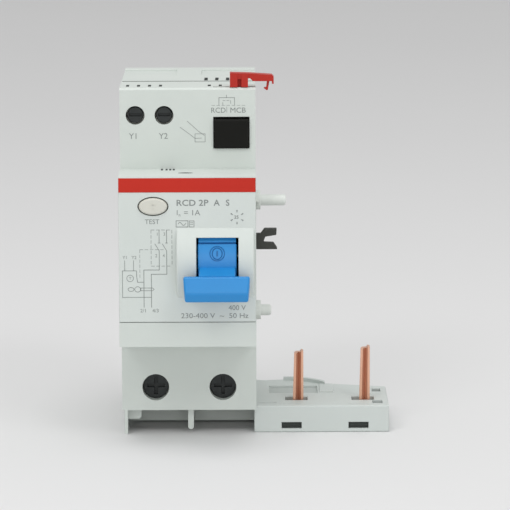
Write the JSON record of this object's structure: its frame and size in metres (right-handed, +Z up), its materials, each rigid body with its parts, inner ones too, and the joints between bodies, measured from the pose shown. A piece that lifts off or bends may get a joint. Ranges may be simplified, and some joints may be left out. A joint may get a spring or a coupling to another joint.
{
  "type": "residual current device",
  "caption": "Residual current block for a rail-mounted breaker, with toggle, test button, terminals, coupling slider and a foot carrying two copper stubs.",
  "frame": {"origin": "middle of the rail seat: on the rail's centreline, in the plane of the rail's front face, midway across the case", "axes": "+X across the modules towards the breaker, +Y back towards the rail and wall, +Z up"},
  "size_m": [0.0697, 0.0745, 0.0947],
  "materials": {
    "case": "fine satin moulded thermoplastic, light grey",
    "stripe": "smooth red moulded inlay",
    "steel": "zinc plated steel",
    "spring": "drawn spring wire",
    "toggle": "satin blue moulded thermoplastic",
    "black": "black glass filled nylon",
    "mechanism": "natural acetal",
    "relay": "white relay housing",
    "test_button": "cream moulded thermoplastic",
    "brass": "tinned brass strip",
    "key": "black moulded thermoplastic",
    "slider": "red moulded thermoplastic",
    "pin": "light grey moulded thermoplastic",
    "screw": "yellow-free zinc plated steel",
    "cage": "zinc plated pressed steel",
    "copper": "bare copper, lightly browned",
    "core": "coated strip-wound core",
    "winding": "enamelled copper wire",
    "board": "green solder-masked laminate",
    "capacitor": "sleeved can",
    "resistor": "coated resistor body",
    "varistor": "epoxy coated disc",
    "foot": "fine satin moulded thermoplastic, light grey",
    "clip": "grey glass filled nylon"
  },
  "bodies": {
    "case": {"front_case": "case", "rear_case": "case", "front_plate": "case", "stripe": "stripe", "case_screws": "steel", "toggle_pin": "steel", "toggle_spring": "spring", "spring_post": "steel", "trip_shaft": "steel", "trip_spring": "spring", "latch_pin": "steel", "relay_body": "relay", "test_spring": "spring", "test_contact": "brass", "lock_spring": "spring", "coupling_pin_upper": "pin", "coupling_pin_lower": "pin", "terminal_plate_left": "copper", "terminal_plate_right": "copper", "lead_left": "copper", "lead_right": "copper", "copper_stub_left": "copper", "copper_stub_right": "copper", "ring_core": "core", "ring_winding": "winding", "circuit_board": "board", "board_posts": "mechanism", "capacitor": "capacitor", "test_resistor": "resistor", "varistor": "varistor", "remote_contacts": "brass", "phase_barrier": "case", "foot_cover": "foot", "foot_base": "foot", "clip_spring": "spring"},
    "toggle": {"toggle": "toggle", "reset_link": "steel"},
    "trip_lever": {"trip_lever": "black"},
    "latch_lever": {"latch_lever": "mechanism"},
    "relay_plunger": {"relay_plunger": "steel"},
    "test_button": {"test_button": "test_button"},
    "lock_key": {"lock_key": "key"},
    "coupling_slider": {"coupling_slider": "slider"},
    "screw_left": {"terminal_screw_left": "screw"},
    "screw_right": {"terminal_screw_right": "screw"},
    "cage_left": {"lift_cage_left": "cage"},
    "cage_right": {"lift_cage_right": "cage"},
    "remote_screw_1": {"remote_screw_1": "screw"},
    "remote_screw_2": {"remote_screw_2": "screw"},
    "remote_clamp_1": {"remote_clamp_1": "cage"},
    "remote_clamp_2": {"remote_clamp_2": "cage"},
    "rail_clip": {"rail_clip": "clip"}
  },
  "joints": [
    {"name": "toggle_turn", "type": "hinge", "parent": "case", "child": "toggle", "pos_m": [0.0076, -0.049, 0], "axis": [-1, 0, 0], "range_deg": [0, 30]},
    {"name": "trip_lever_turn", "type": "hinge", "parent": "case", "child": "trip_lever", "pos_m": [0.011, -0.033, 0.003], "axis": [-1, 0, 0], "range_deg": [0, 15.01]},
    {"name": "plunger_slide", "type": "slide", "parent": "case", "child": "relay_plunger", "axis": [0, -1, 0], "range_m": [0, 0.0015], "stiffness_N_per_m": 120},
    {"name": "latch_turn", "type": "hinge", "parent": "case", "child": "latch_lever", "pos_m": [-0.009, -0.034, -0.002], "axis": [1, 0, 0], "range_deg": [0, 9.6]},
    {"name": "test_press", "type": "slide", "parent": "case", "child": "test_button", "axis": [0, 1, 0], "range_m": [0, 0.0015], "stiffness_N_per_m": 400, "deforming": ["test_spring"]},
    {"name": "lock_press", "type": "slide", "parent": "case", "child": "lock_key", "axis": [0, 1, 0], "range_m": [0, 0.002], "stiffness_N_per_m": 400, "deforming": ["lock_spring"]},
    {"name": "slider_slide", "type": "slide", "parent": "case", "child": "coupling_slider", "axis": [-1, 0, 0], "range_m": [0, 0.004]},
    {"name": "clip_pull", "type": "slide", "parent": "case", "child": "rail_clip", "axis": [0, 0, -1], "range_m": [0, 0.003], "stiffness_N_per_m": 800, "springref_m": -0.0005, "deforming": ["clip_spring"]},
    {"name": "cage_left_lift", "type": "slide", "parent": "case", "child": "cage_left", "axis": [0, -1, 0], "range_m": [0, 0.0016]},
    {"name": "screw_left_turn", "type": "hinge", "parent": "case", "child": "screw_left", "pos_m": [-0.00875, -0.04, -0.0356], "axis": [0, 1, 0], "range_deg": [0, 721]},
    {"name": "cage_right_lift", "type": "slide", "parent": "case", "child": "cage_right", "axis": [0, -1, 0], "range_m": [0, 0.0016]},
    {"name": "screw_right_turn", "type": "hinge", "parent": "case", "child": "screw_right", "pos_m": [0.00875, -0.04, -0.0356], "axis": [0, 1, 0], "range_deg": [0, 721]},
    {"name": "remote_clamp_1_lift", "type": "slide", "parent": "case", "child": "remote_clamp_1", "axis": [0, -1, 0], "range_m": [0, 0.001]},
    {"name": "remote_screw_1_turn", "type": "hinge", "parent": "case", "child": "remote_screw_1", "pos_m": [-0.01347, -0.042, 0.0358], "axis": [0, 1, 0], "range_deg": [0, 721]},
    {"name": "remote_clamp_2_lift", "type": "slide", "parent": "case", "child": "remote_clamp_2", "axis": [0, -1, 0], "range_m": [0, 0.001]},
    {"name": "remote_screw_2_turn", "type": "hinge", "parent": "case", "child": "remote_screw_2", "pos_m": [-0.00604, -0.042, 0.0358], "axis": [0, 1, 0], "range_deg": [0, 721]}
  ],
  "couplings": [
    {"joint": "trip_lever_turn", "follows": "toggle_turn", "ratio": 0.5},
    {"joint": "latch_turn", "follows": "plunger_slide", "rad_per_m": 111},
    {"joint": "screw_left_turn", "follows": "cage_left_lift", "rad_per_m": 7854},
    {"joint": "screw_right_turn", "follows": "cage_right_lift", "rad_per_m": 7854},
    {"joint": "remote_screw_1_turn", "follows": "remote_clamp_1_lift", "rad_per_m": 12566},
    {"joint": "remote_screw_2_turn", "follows": "remote_clamp_2_lift", "rad_per_m": 12566}
  ]
}
